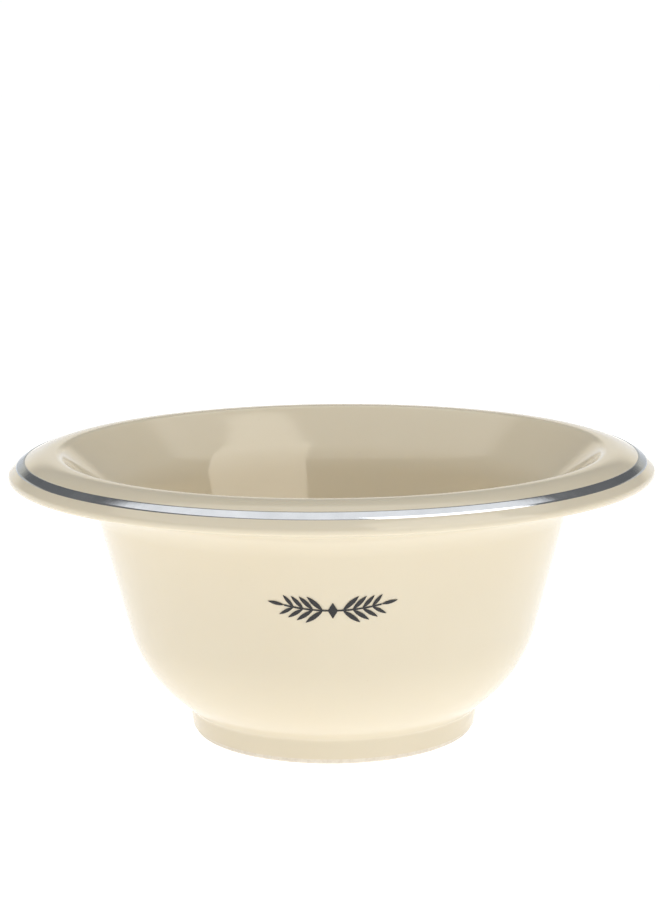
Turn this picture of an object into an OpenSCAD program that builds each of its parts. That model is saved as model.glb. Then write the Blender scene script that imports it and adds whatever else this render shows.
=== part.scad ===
// Shaving bowl: a porcelain bowl on a luted foot ring, glazed outside, inside and under
// the foot, with a lustre band on the slope of its rim and a printed leaf sprig in front.
// The origin is the centre of the resting face. +Z is up and -Y is the front.
// Outlines are half-sections in [radius, height]. They give the finished, glazed surface.

/* [Overall] */
// Width across the rim
rim_d = 130; // [106:1:160]
// Height from the resting face to the top of the rim
bowl_h = 58; // [48:0.1:72]
// Thickness of the wall, glaze included
wall_t = 3.7; // [3:0.1:4.8]

/* [Rim] */
// Distance in from the edge of the rim to the corner under it, where the wall starts
rim_reach = 16.4; // [13.6:0.1:20]
// Distance in from the edge of the rim to the outer corner of its level top
slope_reach = 4.1; // [4:0.1:5]
// Distance in from the edge of the rim to the inner corner of its level top
top_reach = 10.3; // [9.8:0.1:12.4]
// Fall of the outer slope of the rim, in degrees
slope_fall = 42; // [34:1:43]
// Fall of the funnel inside the rim, in degrees
funnel_fall = 44; // [36:1:52]
// Rise of the underside of the rim towards its edge, in degrees
under_rise = 11.8; // [8:0.1:14]
// Radius of the rolled edge
edge_round = 1; // [0.8:0.1:1.3]
// Radius between the level top and the outer slope
crown_round = 12; // [8:0.5:12.5]
// Radius between the level top and the funnel
shoulder_round = 2.4; // [1:0.1:3]
// Radius outside, where the rim flares from the wall
neck_round = 8; // [4:0.5:10]
// Radius inside, where the funnel turns down into the wall
throat_round = 12; // [6:0.5:16]

/* [Wall] */
// Lean of the wall away from upright, in degrees
wall_lean = 14.4; // [11.9:0.1:17.2]
// Height of the corner where the wall turns under to the foot
belly_z = 13.8; // [12:0.1:16]
// Radius of that turn, outside
belly_round = 27.5; // [18:0.5:29]
// Height of the floor inside
floor_z = 9.6; // [8.5:0.1:11.5]
// Radius of the turn from the wall to the floor, inside
bottom_round = 18; // [12:0.5:21]

/* [Foot] */
// Distance in from the corner of the belly to the outer face of the foot ring
foot_inset = 9.8; // [8.5:0.1:11.8]
// Height of the foot ring
foot_h = 5.2; // [5:0.1:6.2]
// Width of the foot ring, from its outer to its inner face
foot_w = 5; // [4.2:0.1:6]
// Draw-in of the outer face of the foot ring, from its top to the table
foot_draft = 0.8; // [0:0.1:1.2]
// Radius of the lower edges of the foot ring
foot_round = 0.8; // [0.4:0.1:1.2]
// Radius of the cove between the foot ring and the belly
cove_round = 1.5; // [0.5:0.1:2.5]

/* [Glaze and decoration] */
// Thickness of the glaze
glaze_t = 0.3; // [0.2:0.05:0.5]
// Height of the foot ring that is left dry, above the table
dry_h = 1.2; // [1.2:0.1:2]
// Distance in from the edge of the rim to the lustre band
band_inset = 1.6; // [1.4:0.1:2]
// Width of the lustre band, seen from above
band_w = 1.8; // [1:0.1:2.2]
// Thickness of the lustre band and of the print
film_t = 0.12; // [0.1:0.01:0.2]
// Drop from the top of the rim to the middle of the leaf sprig
sprig_drop = 23.2; // [18:0.1:28]
// Radius of the arc that the stem of the sprig follows
stem_bend = 40; // [30:1:60]
// Angle of that arc from the middle of the sprig to the start of each end leaf
stem_sweep = 13; // [10.5:0.1:16]
// Thickness of the stem
stem_w = 0.3; // [0.25:0.01:0.5]
// Length of the longest leaf
leaf_l = 4.4; // [3.6:0.1:5.3]
// Width of a leaf, as a share of its length
leaf_slim = 0.22; // [0.2:0.01:0.4]
// Angle between a leaf and the stem
leaf_spread = 40; // [25:1:50]
// Pairs of leaves on each side of the sprig
leaf_pairs = 4; // [2:1:5]
// Height of the lozenge in the middle of the sprig
lozenge_h = 3.2; // [2:0.1:5]

/* [Hidden] */
$fn = 180;
// Largest angle between two points of an outline's arc
arc_step = 5;
// Share of the longest leaf's length that the leaves lose towards the ends of the sprig
leaf_taper = 0.3;
// Width of the lozenge, as a share of its height
lozenge_slim = 0.6;

// A direction of length 1, a direction turned a quarter to the right, and one turned left by an angle
function unit(v) = v / norm(v);
function turned(v) = [v[1], -v[0]];
function spun(v, angle) = [v[0] * cos(angle) - v[1] * sin(angle), v[0] * sin(angle) + v[1] * cos(angle)];

// Where the line through a along u meets the line through b along v
function crossing(a, u, b, v) = a + u * ((b - a) * turned(v)) / (u * turned(v));

// Points of the arc that rounds the corner b between a and c
function corner_arc(a, b, c, radius) = let (
    to_a = unit(a - b),
    to_c = unit(c - b),
    half = acos(to_a * to_c) / 2,
    centre = b + unit(to_a + to_c) * radius / sin(half),
    start = b + to_a * radius / tan(half) - centre,
    sweep = sign(turned(to_a) * to_c) * (180 - 2 * half),
    steps = ceil(abs(sweep) / arc_step)
) [for (i = [0:steps]) centre + spun(start, sweep * i / steps)];

// A path through rows of [corner, radius], with its first and last corners left sharp
function rounded_path(rows) = let (last = len(rows) - 1) concat(
    [rows[0][0]],
    [for (i = [1:last - 1], p = corner_arc(rows[i - 1][0], rows[i][0], rows[i + 1][0], rows[i][1])) p],
    [rows[last][0]]
);

// The path moved to the right of its direction, with each edge parallel to the old one
function shifted(path, distance) = let (
    last = len(path) - 1,
    sides = [for (i = [1:last]) turned(unit(path[i] - path[i - 1]))]
) [for (i = [0:last]) let (before = sides[max(i - 1, 0)], after = sides[min(i, last - 1)])
    path[i] + distance * (before + after) / (1 + before * after)];

function reversed(path) = [for (i = [len(path) - 1:-1:0]) path[i]];

// The path with nothing left of the axis, where a sum may leave a rounding error
function right_of_axis(path) = [for (p = path) [max(p[0], 0), p[1]]];

// Directions of the straight stretches, all from the table or the axis outwards
slope_dir = [cos(slope_fall), -sin(slope_fall)];
funnel_dir = [cos(funnel_fall), sin(funnel_fall)];
under_dir = [cos(under_rise), sin(under_rise)];
wall_dir = [sin(wall_lean), cos(wall_lean)];
level = [1, 0];
upright = [0, 1];

// Corners of the rim
rim_r = rim_d / 2;
top_outer = [rim_r - slope_reach, bowl_h];
top_inner = [rim_r - top_reach, bowl_h];
edge_centre_r = rim_r - edge_round;
edge_fall = (edge_round + (edge_centre_r - top_outer[0]) * sin(slope_fall)) / cos(slope_fall);
edge_centre = [edge_centre_r, bowl_h - edge_fall];
edge_tip = crossing(edge_centre + edge_round * turned(under_dir), under_dir, top_outer, slope_dir);
neck = crossing(edge_tip, under_dir, [rim_r - rim_reach, 0], upright);

// Corners of the wall, the foot ring and the floor
belly = crossing(neck, wall_dir, [0, belly_z], level);
foot_top = [belly[0] - foot_inset, foot_h];
foot_dir = unit([foot_draft, foot_h]);
dry_line = crossing(foot_top, foot_dir, [0, dry_h], level);
wall_inside = neck - wall_t * turned(wall_dir);
throat = crossing(top_inner, funnel_dir, wall_inside, wall_dir);
floor_edge = crossing(throat, wall_dir, [0, floor_z], level);

surface = rounded_path([
    [dry_line, 0],
    [foot_top, cove_round],
    [belly, belly_round],
    [neck, neck_round],
    [edge_tip, edge_round],
    [top_outer, crown_round],
    [top_inner, shoulder_round],
    [throat, throat_round],
    [floor_edge, bottom_round],
    [[0, floor_z], 0]
]);

// The outer and the inner glaze meet in the middle of the lustre band, which hides the seam
seam_r = rim_r - band_inset - band_w / 2;
last_point = len(surface) - 1;
past_seam = [for (i = [1:last_point]) if (surface[i][1] > edge_centre[1] && surface[i][0] < seam_r) i][0];
seam_edge = surface[past_seam] - surface[past_seam - 1];
seam = crossing(surface[past_seam], seam_edge, [seam_r, 0], upright);
outside = concat([for (i = [0:past_seam - 1]) surface[i]], [seam]);
inside = concat([seam], [for (i = [past_seam:last_point]) surface[i]]);

// The bare clay under the outer glaze, the dry foot and the recess inside the foot ring
clay_outside = shifted(outside, -glaze_t);
foot_inner_r = foot_top[0] - foot_w;
clay_foot = rounded_path([
    [[foot_inner_r, foot_h], 0],
    [[foot_inner_r, 0], foot_round],
    [crossing(clay_outside[0], foot_dir, [0, 0], level), foot_round],
    [clay_outside[0], 0]
]);

module skin(path, low, high) {
    rotate_extrude() polygon(right_of_axis(concat(shifted(path, high), reversed(shifted(path, low)))));
}

module clay(low, high) {
    clay_inside = shifted(inside, -glaze_t);
    rotate_extrude() intersection() {
        polygon(right_of_axis(concat([[0, foot_h]], clay_foot, clay_outside, clay_inside)));
        translate([0, low]) square([rim_r, high - low]);
    }
}

module bowl_body() {
    color("seashell") clay(foot_h, bowl_h);
}

module foot_ring() {
    color("linen") clay(0, foot_h);
}

module outer_glaze() {
    color("cornsilk") skin(outside, -glaze_t, 0);
}

module inner_glaze() {
    color("ivory") skin(inside, -glaze_t, 0);
}

// It lines the recess inside the foot ring, down to the dry line
module base_glaze() {
    color("cornsilk") skin([[foot_inner_r, dry_h], [foot_inner_r, foot_h], [0, foot_h]], -glaze_t, 0);
}

module lustre_band() {
    brow = [for (p = surface) if (p[1] > edge_centre[1] && p[0] > top_inner[0]) p];
    color("silver") rotate_extrude() intersection() {
        polygon(concat(shifted(brow, film_t), reversed(brow)));
        translate([rim_r - band_inset - band_w, 0]) square([band_w, bowl_h]);
    }
}

// A leaf that starts at the origin and points along +X: the overlap of two discs
module leaf(length) {
    width = length * leaf_slim;
    disc_r = (length * length + width * width) / (4 * width);
    intersection_for (side = [-1, 1])
        translate([length / 2, side * (disc_r - width / 2)]) circle(disc_r);
}

// One half of the sprig, to the right of its middle, with the stem's lowest point at the origin
module half_sprig() {
    translate([0, stem_bend]) {
        intersection() {
            difference() {
                circle(stem_bend + stem_w / 2);
                circle(stem_bend - stem_w / 2);
            }
            polygon([[0, 0], [0, -2 * stem_bend], 2 * stem_bend * [sin(stem_sweep), -cos(stem_sweep)]]);
        }
        for (i = [1:leaf_pairs], side = [-1, 1])
            rotate(stem_sweep * i / (leaf_pairs + 1))
                translate([0, -stem_bend])
                    rotate(side * leaf_spread)
                        leaf(leaf_l * (1 - leaf_taper * i / leaf_pairs));
        rotate(stem_sweep) translate([0, -stem_bend]) leaf(leaf_l * (1 - leaf_taper));
    }
}

module sprig_outline() {
    half_sprig();
    mirror([1, 0]) half_sprig();
    half_w = lozenge_slim * lozenge_h / 2;
    half_h = lozenge_h / 2;
    polygon([[-half_w, 0], [0, -half_h], [half_w, 0], [0, half_h]]);
}

module sprig_print() {
    color("midnightblue") intersection() {
        skin(outside, 0, film_t);
        translate([0, 0, bowl_h - sprig_drop]) rotate([90, 0, 0]) linear_extrude(rim_r) sprig_outline();
    }
}

bowl_body();
foot_ring();
outer_glaze();
inner_glaze();
base_glaze();
lustre_band();
sprig_print();
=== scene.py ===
"""Shaving bowl: smooth glazed surfaces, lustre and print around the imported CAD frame.

Lengths in the outlines are millimetres, as in the design; meshes are built in metres.
"""

import math

import bpy
import numpy as np
from mathutils import Matrix, Vector


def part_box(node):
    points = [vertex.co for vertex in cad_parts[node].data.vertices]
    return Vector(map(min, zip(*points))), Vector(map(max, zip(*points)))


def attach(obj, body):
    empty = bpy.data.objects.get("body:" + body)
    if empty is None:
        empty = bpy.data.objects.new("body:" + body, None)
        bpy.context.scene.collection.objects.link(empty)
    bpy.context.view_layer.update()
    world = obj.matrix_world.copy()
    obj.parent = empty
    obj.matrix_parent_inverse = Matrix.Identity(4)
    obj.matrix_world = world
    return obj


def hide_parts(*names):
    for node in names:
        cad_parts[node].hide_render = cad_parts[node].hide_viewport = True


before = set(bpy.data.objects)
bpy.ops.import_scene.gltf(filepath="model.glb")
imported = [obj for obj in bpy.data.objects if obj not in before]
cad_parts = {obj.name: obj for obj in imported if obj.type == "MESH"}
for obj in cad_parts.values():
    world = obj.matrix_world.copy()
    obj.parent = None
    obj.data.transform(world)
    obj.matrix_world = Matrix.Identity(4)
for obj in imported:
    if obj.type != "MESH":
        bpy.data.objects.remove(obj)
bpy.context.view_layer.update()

MM = 0.001
BODY = "root"

# ---------------------------------------------------------------- sizes from the frame


def reach(node):
    """How far a CAD node spreads from the bowl's axis, in millimetres."""
    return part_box(node)[1][0] / MM


def lowest(node):
    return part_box(node)[0][2] / MM


def highest(node):
    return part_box(node)[1][2] / MM


GLAZE = 0.3
RIM_R = reach("outer_glaze")
BOWL_H = highest("inner_glaze")
FLOOR_Z = lowest("inner_glaze") + GLAZE
FOOT_H = highest("foot_ring")

# Sizes that the frame's boxes don't give, as the design has them
DRY_H = 1.2
FILM = 0.12
BAND_INSET = 1.6
BAND_W = 1.8
BAND_OUTER_R = RIM_R - BAND_INSET
BAND_INNER_R = BAND_OUTER_R - BAND_W
SLOPE_REACH = 4.1
TOP_REACH = 10.3
RIM_REACH = 16.4
SLOPE_FALL = math.radians(42)
FUNNEL_FALL = math.radians(44)
UNDER_RISE = math.radians(11.8)
WALL_LEAN = math.radians(14.4)
WALL_T = 3.7
EDGE_ROUND = 1.0
CROWN_ROUND = 12.0
SHOULDER_ROUND = 2.4
NECK_ROUND = 8.0
THROAT_ROUND = 12.0
BELLY_Z = 13.8
BELLY_ROUND = 27.5
BOTTOM_ROUND = 18.0
FOOT_INSET = 9.8
FOOT_W = 5.0
FOOT_DRAFT = 0.8
FOOT_ROUND = 0.8
COVE_ROUND = 1.5
POOL_ROUND = 1.1

# ---------------------------------------------------------------- outlines, as [radius, height]

# How finely a path is divided: the turn of an arc's steps, and the longest straight step
FINEST = (math.radians(0.5), 0.1)
FINE = (math.radians(2.5), 1.2)
COARSE = (math.radians(8), 8.0)
LEVEL = np.array([1.0, 0.0])
UPRIGHT = np.array([0.0, 1.0])


def point(r, z):
    return np.array([r, z], float)


def unit(v):
    return v / np.linalg.norm(v)


def turned(v):
    return np.array([v[1], -v[0]])


def crossing(a, u, b, v):
    """Where the line through a along u meets the line through b along v."""
    return a + u * np.dot(b - a, turned(v)) / np.dot(u, turned(v))


def corner_arc(a, b, c, radius, step):
    """Points of the arc that rounds the corner b between a and c."""
    to_a, to_c = unit(a - b), unit(c - b)
    half = math.acos(np.dot(to_a, to_c)) / 2
    centre = b + unit(to_a + to_c) * radius / math.sin(half)
    start = b + to_a * radius / math.tan(half) - centre
    sweep = math.copysign(math.pi - 2 * half, np.dot(turned(to_a), to_c))
    steps = math.ceil(abs(sweep) / step)
    angles = np.linspace(0, sweep, steps + 1)[:, None]
    return centre + start * np.cos(angles) + turned(-start) * np.sin(angles)


def rounded_path(rows, grain=FINE):
    """A path through rows of (corner, radius), with its straight stretches divided too."""
    step, longest = grain
    corners = [row[0] for row in rows]
    path = [corners[:1]]
    for i in range(1, len(rows) - 1):
        path.append(corner_arc(corners[i - 1], corners[i], corners[i + 1], rows[i][1], step))
    path.append(corners[-1:])
    bends = np.vstack(path)
    points = [bends[:1]]
    for a, b in zip(bends[:-1], bends[1:]):
        parts = math.ceil(np.linalg.norm(b - a) / longest)
        points.append(a + (b - a) * np.linspace(0, 1, parts + 1)[1:, None])
    return np.vstack(points)


def shifted(path, distance):
    """The path moved to the right of its direction, each stretch parallel to the old one."""
    sides = np.array([turned(unit(b - a)) for a, b in zip(path[:-1], path[1:])])
    before = np.vstack([sides[:1], sides])
    after = np.vstack([sides, sides[-1:]])
    share = 1 + np.sum(before * after, axis=1, keepdims=True)
    return path + distance * (before + after) / share


def outline_corners():
    """The corners of the finished surface with their radii, from the dry line to the axis."""
    slope = point(math.cos(SLOPE_FALL), -math.sin(SLOPE_FALL))
    funnel = point(math.cos(FUNNEL_FALL), math.sin(FUNNEL_FALL))
    under = point(math.cos(UNDER_RISE), math.sin(UNDER_RISE))
    wall = point(math.sin(WALL_LEAN), math.cos(WALL_LEAN))
    top_outer = point(RIM_R - SLOPE_REACH, BOWL_H)
    top_inner = point(RIM_R - TOP_REACH, BOWL_H)
    edge_r = RIM_R - EDGE_ROUND
    fall = (EDGE_ROUND + (edge_r - top_outer[0]) * math.sin(SLOPE_FALL)) / math.cos(SLOPE_FALL)
    edge_low = point(edge_r, BOWL_H - fall) + EDGE_ROUND * turned(under)
    edge_tip = crossing(edge_low, under, top_outer, slope)
    neck = crossing(edge_tip, under, point(RIM_R - RIM_REACH, 0), UPRIGHT)
    belly = crossing(neck, wall, point(0, BELLY_Z), LEVEL)
    foot_top = point(belly[0] - FOOT_INSET, FOOT_H)
    foot_side = unit(point(FOOT_DRAFT, FOOT_H))
    dry_line = crossing(foot_top, foot_side, point(0, DRY_H), LEVEL)
    throat = crossing(top_inner, funnel, neck - WALL_T * turned(wall), wall)
    floor_edge = crossing(throat, wall, point(0, FLOOR_Z), LEVEL)
    return [
        (dry_line, 0),
        (foot_top, COVE_ROUND),
        (belly, BELLY_ROUND),
        (neck, NECK_ROUND),
        (edge_tip, EDGE_ROUND),
        (top_outer, CROWN_ROUND),
        (top_inner, SHOULDER_ROUND),
        (throat, THROAT_ROUND),
        (floor_edge, BOTTOM_ROUND),
        (point(0, FLOOR_Z), 0),
    ]


def split_at_seam(path):
    """The outside and the inside of the path, which meet under the middle of the band."""
    seam_r = (BAND_OUTER_R + BAND_INNER_R) / 2
    widest = np.argmax(path[:, 0])
    past = widest + np.argmax(path[widest:, 0] < seam_r)
    seam = crossing(path[past], path[past] - path[past - 1], point(seam_r, 0), UPRIGHT)
    return np.vstack([path[:past], seam]), np.vstack([seam, path[past:]])


CORNERS = outline_corners()
FOOT_TOP = CORNERS[1][0]
FOOT_SIDE = unit(point(FOOT_DRAFT, FOOT_H))
FOOT_INNER_R = FOOT_TOP[0] - FOOT_W

# ---------------------------------------------------------------- meshes

TURNS = 256
BAND_POINTS = 25
BAND_FADE = 1 / 6
SHARP_TURN = math.radians(28)


def spin(name, section):
    """A solid of revolution from a closed section, which may touch the axis."""
    section = np.array([[max(r, 0.0), z] for r, z in section]) * MM
    count = len(section)
    angles = np.linspace(0, 2 * math.pi, TURNS, endpoint=False)
    vertices, rings = [], []
    for r, z in section:
        if r < 1e-9:
            rings.append([len(vertices)] * TURNS)
            vertices.append((0, 0, z))
        else:
            rings.append(list(range(len(vertices), len(vertices) + TURNS)))
            vertices.extend((r * math.sin(a), -r * math.cos(a), z) for a in angles)
    faces = []
    for i in range(count):
        low, high = rings[i], rings[(i + 1) % count]
        if low[0] == low[-1] and high[0] == high[-1]:
            continue
        for k in range(TURNS):
            n = (k + 1) % TURNS
            loop = [low[k], low[n], high[n], high[k]]
            faces.append(list(dict.fromkeys(loop)))
    mesh = bpy.data.meshes.new(name)
    mesh.from_pydata(vertices, [], faces)
    mesh.update()
    mark_sharp(mesh)
    piece = bpy.data.objects.new(name, mesh)
    bpy.context.scene.collection.objects.link(piece)
    return piece


def mark_sharp(mesh):
    """Smooth shading everywhere but along the section's true corners."""
    mesh.polygons.foreach_set("use_smooth", [True] * len(mesh.polygons))
    mesh.set_sharp_from_angle(angle=SHARP_TURN)


def skin_section(half, low, high):
    """The section of a coat on the outside (half 0) or the inside (1), from low to high above it."""
    face = split_at_seam(rounded_path(CORNERS))[half]
    back = split_at_seam(rounded_path(CORNERS, COARSE))[half]
    return np.vstack([shifted(face, high), shifted(back, low)[::-1]])


def stands_for(piece, node, material):
    """The piece takes the place of a CAD node, with its material."""
    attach(piece, BODY)
    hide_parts(node)
    piece.data.materials.append(material)


# ---------------------------------------------------------------- materials


def new_material(name):
    material = bpy.data.materials.new(name)
    material.use_nodes = True
    tree = material.node_tree
    tree.nodes.clear()
    output = tree.nodes.new("ShaderNodeOutputMaterial")
    shader = tree.nodes.new("ShaderNodeBsdfPrincipled")
    tree.links.new(shader.outputs["BSDF"], output.inputs["Surface"])
    return material, tree, shader


def noise(tree, scale, detail, roughness=0.5):
    """Fractal noise over the object's own coordinates. scale is features to the metre."""
    place = tree.nodes.new("ShaderNodeTexCoord")
    texture = tree.nodes.new("ShaderNodeTexNoise")
    texture.inputs["Scale"].default_value = scale
    texture.inputs["Detail"].default_value = detail
    texture.inputs["Roughness"].default_value = roughness
    tree.links.new(place.outputs["Object"], texture.inputs["Vector"])
    return texture.outputs["Fac"]


def ramp(tree, factor, stops):
    """A colour ramp through (place, colour) stops; a colour may be one grey number."""
    node = tree.nodes.new("ShaderNodeValToRGB")
    elements = node.color_ramp.elements
    while len(elements) < len(stops):
        elements.new(0.5)
    for element, (place, colour) in zip(elements, stops):
        element.position = place
        element.color = (colour, colour, colour, 1) if isinstance(colour, float) else (*colour, 1)
    tree.links.new(factor, node.inputs["Fac"])
    return node.outputs["Color"]


def speckled(tree, base, speck, cover):
    """The base colour with specks of one other colour where the cover is high."""
    node = tree.nodes.new("ShaderNodeMix")
    node.data_type = "RGBA"
    factor, under, over = node.inputs["Factor"], node.inputs[6], node.inputs[7]
    tree.links.new(cover, factor)
    tree.links.new(base, under)
    over.default_value = (*speck, 1)
    return node.outputs[2]


def bump(tree, shader, height, distance, strength):
    node = tree.nodes.new("ShaderNodeBump")
    node.inputs["Strength"].default_value = strength
    node.inputs["Distance"].default_value = distance
    tree.links.new(height, node.inputs["Height"])
    tree.links.new(node.outputs["Normal"], shader.inputs["Normal"])


def glaze_material(name, pale, warm, fleck):
    """A poured ivory glaze: slow drifts of thickness, faint flecks of the clay, orange peel."""
    material, tree, shader = new_material(name)
    drift = ramp(tree, noise(tree, 22, 3), [(0.3, warm), (0.7, pale)])
    flecks = ramp(tree, noise(tree, 1500, 2), [(0.7, 0.0), (0.8, 0.22)])
    colour = speckled(tree, drift, fleck, flecks)
    tree.links.new(colour, shader.inputs["Base Color"])
    polish = ramp(tree, noise(tree, 90, 4), [(0.3, 0.05), (0.75, 0.085)])
    tree.links.new(polish, shader.inputs["Roughness"])
    shader.inputs["IOR"].default_value = 1.52
    shader.inputs["Specular Tint"].default_value = (1.0, 0.91, 0.76, 1)
    shader.inputs["Subsurface Weight"].default_value = 0.12
    shader.inputs["Subsurface Radius"].default_value = (1.0, 0.75, 0.5)
    shader.inputs["Subsurface Scale"].default_value = 0.0012
    bump(tree, shader, noise(tree, 240, 2), 0.00002, 0.35)
    return material


def clay_material(name, pale, dark):
    """Bare fired porcelain: matte, with fine grain and a few grey specks."""
    material, tree, shader = new_material(name)
    grain = ramp(tree, noise(tree, 900, 5, 0.65), [(0.35, dark), (0.6, pale)])
    specks = ramp(tree, noise(tree, 2600, 1), [(0.72, 0.0), (0.78, 0.4)])
    colour = speckled(tree, grain, (0.35, 0.31, 0.26), specks)
    tree.links.new(colour, shader.inputs["Base Color"])
    dullness = ramp(tree, noise(tree, 500, 3), [(0.3, 0.62), (0.7, 0.8)])
    tree.links.new(dullness, shader.inputs["Roughness"])
    bump(tree, shader, noise(tree, 2200, 5, 0.6), 0.00006, 0.8)
    return material


def lustre_material(name):
    """Fired metal lustre, brushed on by hand: a bright film with a slow ripple and fine wear."""
    material, tree, shader = new_material(name)
    ripple = noise(tree, 160, 4)
    tone = ramp(tree, ripple, [(0.3, (0.55, 0.57, 0.595)), (0.7, (0.65, 0.67, 0.695))])
    tree.links.new(tone, shader.inputs["Base Color"])
    shader.inputs["Metallic"].default_value = 1.0
    shader.inputs["Specular Tint"].default_value = (0.62, 0.65, 0.68, 1)
    wear = ramp(tree, noise(tree, 700, 6, 0.7), [(0.35, 0.06), (0.75, 0.2)])
    tree.links.new(wear, shader.inputs["Roughness"])
    bump(tree, shader, noise(tree, 320, 3), 0.00004, 0.5)
    return material


def ink_material(name):
    """Fired print: near-black ink with a slightly broken, semi-gloss coat."""
    material, tree, shader = new_material(name)
    breaks = noise(tree, 1800, 4, 0.7)
    tone = ramp(tree, breaks, [(0.35, (0.007, 0.007, 0.008)), (0.8, (0.028, 0.028, 0.032))])
    tree.links.new(tone, shader.inputs["Base Color"])
    gloss = ramp(tree, noise(tree, 900, 3), [(0.3, 0.2), (0.7, 0.36)])
    tree.links.new(gloss, shader.inputs["Roughness"])
    bump(tree, shader, noise(tree, 3000, 3), 0.00002, 0.5)
    return material


outer_look = glaze_material(
    "ivory_glaze", (0.815, 0.732, 0.575), (0.795, 0.705, 0.543), (0.665, 0.573, 0.425)
)
inner_look = glaze_material(
    "inside_glaze", (0.845, 0.755, 0.585), (0.82, 0.725, 0.55), (0.69, 0.59, 0.43)
)
clay_look = clay_material("dry_porcelain", (0.84, 0.78, 0.68), (0.74, 0.67, 0.57))
lustre_look = lustre_material("silver_lustre")
ink_look = ink_material("print_ink")

# ---------------------------------------------------------------- pieces


def make_glazes():
    outer = spin("outer_glaze_coat", skin_section(0, -GLAZE, 0))
    stands_for(outer, "outer_glaze", outer_look)
    inner = spin("inner_glaze_coat", skin_section(1, -GLAZE, 0))
    stands_for(inner, "inner_glaze", inner_look)
    recess = [
        (point(FOOT_INNER_R - GLAZE, DRY_H), 0),
        (point(FOOT_INNER_R - GLAZE, FOOT_H - GLAZE), POOL_ROUND),
        (point(0, FOOT_H - GLAZE), 0),
    ]
    backing = np.array([[0, FOOT_H], [FOOT_INNER_R, FOOT_H], [FOOT_INNER_R, DRY_H]])
    base = spin("base_glaze_coat", np.vstack([rounded_path(recess), backing]))
    stands_for(base, "base_glaze", outer_look)


def make_foot():
    clay_side = shifted(rounded_path(CORNERS[:2] + [(FOOT_TOP + UPRIGHT, 0)]), -GLAZE)
    outer_low = crossing(clay_side[0], FOOT_SIDE, point(0, 0), LEVEL)
    outer_top = crossing(clay_side[0], FOOT_SIDE, point(0, FOOT_H), LEVEL)
    section = rounded_path([
        (point(FOOT_INNER_R, FOOT_H), 0),
        (point(FOOT_INNER_R, 0), FOOT_ROUND),
        (outer_low, FOOT_ROUND),
        (outer_top, 0),
    ])
    foot = spin("foot_ring_clay", section)
    stands_for(foot, "foot_ring", clay_look)


def make_band():
    """The lustre follows the brow of the rim and thins out to nothing at both edges."""
    path = rounded_path(CORNERS, FINEST)
    brow = path[np.argmax(path[:, 0]):]
    radii = np.linspace(BAND_OUTER_R, BAND_INNER_R, BAND_POINTS)
    bed = np.column_stack([radii, np.interp(radii, brow[::-1, 0], brow[::-1, 1])])
    along = np.gradient(bed, axis=0)
    out = np.array([unit(turned(step)) for step in along])
    across = np.linspace(0, 1, len(bed))
    fullness = np.clip(np.minimum(across, 1 - across) / BAND_FADE, 0, 1)
    film = bed + out * (FILM * np.sin(fullness * math.pi / 2))[:, None]
    band = spin("lustre_band_film", film)
    stands_for(band, "lustre_band", lustre_look)


make_glazes()
make_foot()
make_band()


def dress(node, material):
    """A better material on a CAD node that is shown as it is."""
    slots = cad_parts[node].data.materials
    slots.clear()
    slots.append(material)


dress("sprig_print", ink_look)
dress("bowl_body", clay_look)

# ---------------------------------------------------------------- camera

CAMERA_DISTANCE = 0.450
CAMERA_ELEVATION = math.radians(13.2)
CAMERA_ROLL = math.radians(-0.53)
ORBIT_HEIGHT = 0.030
AIM = Vector((-0.00028, 0, 0.05714))
SENSOR = 36.0
LENS = 87.73


def make_camera():
    data = bpy.data.cameras.new("camera")
    data.lens = LENS
    data.sensor_width = SENSOR
    data.clip_start = 0.01
    data.clip_end = 50
    camera = bpy.data.objects.new("camera", data)
    bpy.context.scene.collection.objects.link(camera)
    back = -CAMERA_DISTANCE * math.cos(CAMERA_ELEVATION)
    up = ORBIT_HEIGHT + CAMERA_DISTANCE * math.sin(CAMERA_ELEVATION)
    place = Vector((0, back, up))
    turn = (AIM - place).to_track_quat("-Z", "Y").to_matrix().to_4x4()
    camera.matrix_world = Matrix.Translation(place) @ turn @ Matrix.Rotation(CAMERA_ROLL, 4, "Z")
    bpy.context.scene.camera = camera


make_camera()

# ---------------------------------------------------------------- studio


FLOOR_HALF = 12.0
FLOOR_GLOW = 0.88
TENT_STRENGTH = 1.2
SIGHT_HEIGHT = 0.04
# The corners of the window, as (azimuth, elevation) in degrees seen from the bowl
WINDOW = [(14, 12), (72, 8), (83, 41), (108, 60), (41, 82)]


def make_floor():
    """A pale light table: matte, and glowing so that it comes out white."""
    mesh = bpy.data.meshes.new("floor")
    corners = [(x * FLOOR_HALF, y * FLOOR_HALF, 0) for x, y in ((-1, -1), (1, -1), (1, 1), (-1, 1))]
    mesh.from_pydata(corners, [], [(0, 1, 2, 3)])
    floor = bpy.data.objects.new("floor", mesh)
    bpy.context.scene.collection.objects.link(floor)
    material, tree, shader = new_material("floor_white")
    tone = ramp(tree, noise(tree, 3, 2), [(0.3, (0.49, 0.49, 0.49)), (0.7, (0.52, 0.52, 0.52))])
    tree.links.new(tone, shader.inputs["Base Color"])
    shader.inputs["Roughness"].default_value = 0.9
    shader.inputs["Specular IOR Level"].default_value = 0.0
    shader.inputs["Emission Color"].default_value = (1, 1, 1, 1)
    shader.inputs["Emission Strength"].default_value = FLOOR_GLOW
    mesh.materials.append(material)


def direction(azimuth, elevation):
    """A unit vector out from the bowl. Azimuth 0 is the front, 90 the right."""
    a, e = math.radians(azimuth), math.radians(elevation)
    return Vector((math.sin(a) * math.cos(e), -math.cos(a) * math.cos(e), math.sin(e)))


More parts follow.
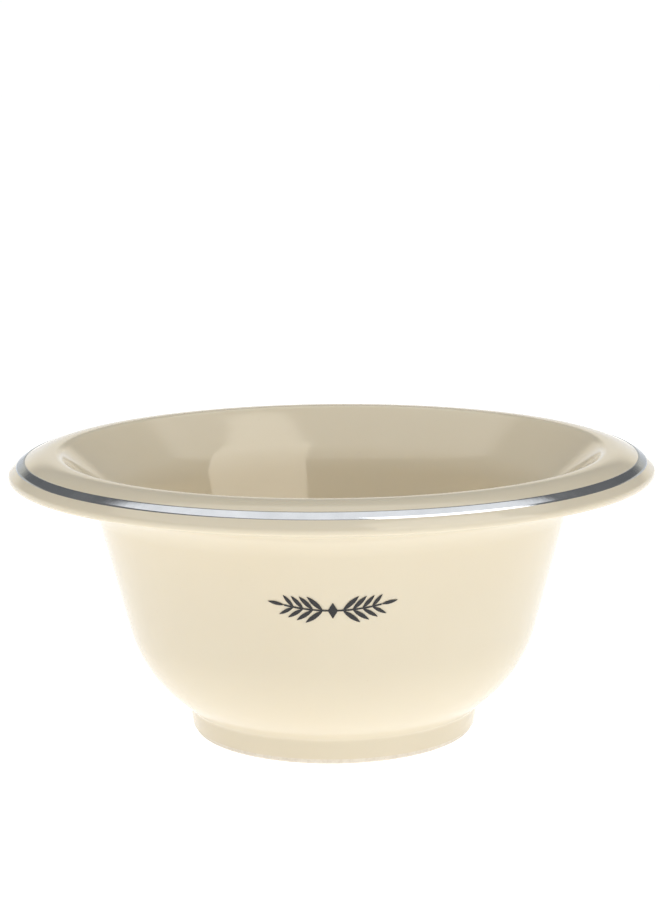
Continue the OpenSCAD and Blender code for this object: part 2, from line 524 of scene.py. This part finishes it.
def light_card(name, corners, distance, radiance, gloss):
    """A flat card of light with its corners in the given directions.

    It shows in the gloss or lights the matte side of things, not both.
    """
    centre = Vector((0, 0, SIGHT_HEIGHT))
    rays = [direction(*corner) for corner in corners]
    middle = sum(rays, Vector()).normalized()
    mesh = bpy.data.meshes.new(name)
    points = [centre + ray * distance / ray.dot(middle) for ray in rays]
    mesh.from_pydata(points, [], [range(len(points))])
    card = bpy.data.objects.new(name, mesh)
    bpy.context.scene.collection.objects.link(card)
    material, tree, shader = new_material(name + "_glow")
    glow = ramp(tree, noise(tree, 2, 2), [(0.3, 0.96), (0.7, 1.0)])
    tree.links.new(glow, shader.inputs["Emission Color"])
    shader.inputs["Emission Strength"].default_value = radiance
    shader.inputs["Base Color"].default_value = (0, 0, 0, 1)
    mesh.materials.append(material)
    card.visible_camera = False
    card.visible_glossy = gloss
    card.visible_diffuse = not gloss
    card.visible_shadow = False


def make_world():
    """A white tent: bright and a little warm near the horizon, dim above it, bright overhead."""
    world = bpy.data.worlds.new("studio")
    bpy.context.scene.world = world
    world.use_nodes = True
    tree = world.node_tree
    tree.nodes.clear()
    place = tree.nodes.new("ShaderNodeTexCoord")
    split = tree.nodes.new("ShaderNodeSeparateXYZ")
    tree.links.new(place.outputs["Generated"], split.inputs["Vector"])
    tone = ramp(tree, split.outputs["Z"], [
        (0.0, 0.85),
        (0.08, 0.85),
        (0.19, (0.76, 0.71, 0.61)),
        (0.27, 0.18),
        (0.7, 0.18),
        (0.76, 1.0),
        (1.0, 1.0),
    ])
    light = tree.nodes.new("ShaderNodeBackground")
    light.inputs["Strength"].default_value = TENT_STRENGTH
    output = tree.nodes.new("ShaderNodeOutputWorld")
    tree.links.new(tone, light.inputs["Color"])
    tree.links.new(light.outputs["Background"], output.inputs["Surface"])


make_floor()
make_world()
light_card("window_glare", WINDOW, 1.2, 3.2, gloss=True)
light_card("window_glow", WINDOW, 1.3, 0.6, gloss=False)

scene = bpy.context.scene
scene.view_settings.view_transform = "Standard"
scene.view_settings.look = "None"
